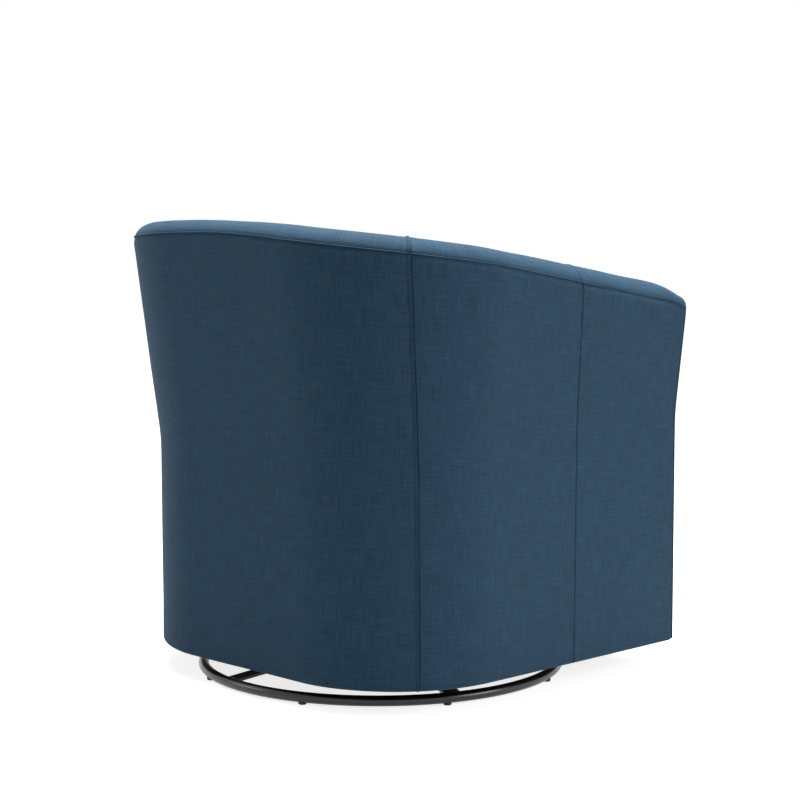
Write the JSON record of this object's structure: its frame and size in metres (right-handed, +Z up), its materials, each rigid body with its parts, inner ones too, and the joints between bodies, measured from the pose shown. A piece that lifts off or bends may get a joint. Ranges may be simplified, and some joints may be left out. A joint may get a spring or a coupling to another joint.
{
  "type": "swivel barrel chair",
  "caption": "Upholstered barrel armchair with a curved, flared wall and padded top roll, turning on a swivel plate above a low ring base.",
  "frame": {"origin": "where the swivel axis meets the floor", "axes": "+X to the sitter's left, -Y the way the sitter faces, +Z up along the swivel axis"},
  "size_m": [0.6892, 0.6363, 0.6863],
  "materials": {
    "blue_linen": "petrol blue linen weave over foam",
    "black_enamel": "gloss black enamel",
    "black_plate": "satin black enamel",
    "black_glide": "moulded black",
    "bearing_nylon": "natural nylon",
    "zinc_steel": "zinc plated",
    "solid_wood": "sawn softwood",
    "plywood": "plywood",
    "webbing": "elastic webbing",
    "felt": "needled felt",
    "dust_cloth": "black non-woven cloth"
  },
  "bodies": {
    "base": {"base_ring": "black_enamel", "spoke_rear": "black_enamel", "spoke_right": "black_enamel", "spoke_front": "black_enamel", "spoke_left": "black_enamel", "floor_glides": "black_glide", "swivel_lower_plate": "black_plate", "bearing_ring": "bearing_nylon", "king_bolt": "zinc_steel", "king_washer": "zinc_steel", "king_nut": "zinc_steel"},
    "seat": {"arm_front_board_left": "plywood", "arm_front_board_right": "plywood", "arm_front_cover_left": "blue_linen", "arm_front_cover_right": "blue_linen", "arm_top_rails": "solid_wood", "bottom_front_rail": "plywood", "bottom_rib": "plywood", "corner_blocks": "solid_wood", "deck_pad": "felt", "dust_cover": "dust_cloth", "front_apron": "blue_linen", "front_rail": "solid_wood", "inside_arm_left": "blue_linen", "inside_arm_right": "blue_linen", "inside_back": "blue_linen", "lower_posts": "plywood", "outside_arm_left": "blue_linen", "outside_arm_right": "blue_linen", "outside_back": "blue_linen", "outside_corner_left": "blue_linen", "outside_corner_right": "blue_linen", "plate_bolts": "zinc_steel", "seat_cushion": "blue_linen", "seat_rib": "plywood", "swivel_rail_front": "solid_wood", "swivel_rail_rear": "solid_wood", "swivel_upper_plate": "black_plate", "tee_nuts": "zinc_steel", "top_back_rail": "solid_wood", "top_roll_arm_left": "blue_linen", "top_roll_arm_right": "blue_linen", "top_roll_back": "blue_linen", "top_roll_corner_left": "blue_linen", "top_roll_corner_right": "blue_linen", "upper_posts": "plywood", "webbing_crosswise": "webbing", "webbing_lengthwise": "webbing"}
  },
  "joints": [
    {"name": "swivel", "type": "hinge", "parent": "base", "child": "seat", "pos_m": [0, 0, 0.05], "axis": [0, 0, 1], "continuous": true}
  ]
}
